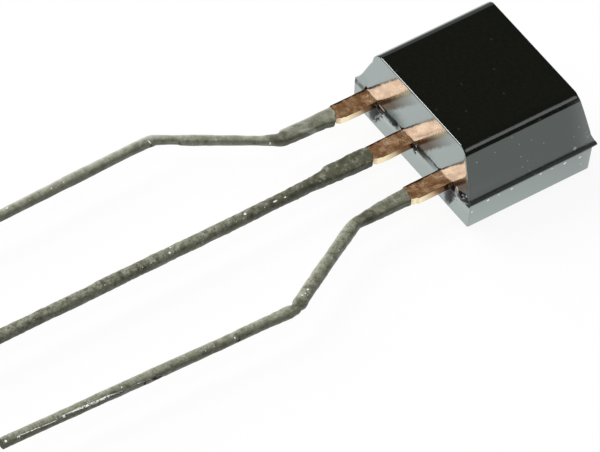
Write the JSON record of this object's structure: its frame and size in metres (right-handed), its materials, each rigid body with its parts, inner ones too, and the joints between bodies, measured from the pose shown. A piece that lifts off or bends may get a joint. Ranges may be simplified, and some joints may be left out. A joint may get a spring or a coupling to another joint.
{
  "type": "flat moulded transistor",
  "caption": "Small-signal transistor in a slim moulded body, lying on its back face, with formed tin-dipped leads from one end.",
  "frame": {"origin": "centre of the moulded body's back face", "axes": "+Z out of the front face, -Y along the leads from the body to their tips, +X from the emitter lead to the base lead"},
  "size_m": [0.0055, 0.0143, 0.0018],
  "materials": {
    "moulding": "black epoxy moulding compound, fine satin faces from the mould with a glossy sheen at low angles",
    "copper": "bare rolled copper sheet with fine lengthwise streaks",
    "solder": "dull tin dip with drawn lengthwise streaks, small bright specks and pits",
    "silicon": "polished dark grey silicon",
    "die_attach": "dull grey solder",
    "gold": "drawn gold wire"
  },
  "bodies": {
    "root": {"moulded_body": "moulding", "emitter_lead": "copper", "collector_lead": "copper", "base_lead": "copper", "emitter_solder": "solder", "collector_solder": "solder", "base_solder": "solder", "silicon_die": "silicon", "die_bond": "die_attach", "emitter_wire": "gold", "base_wire": "gold"}
  },
  "joints": []
}
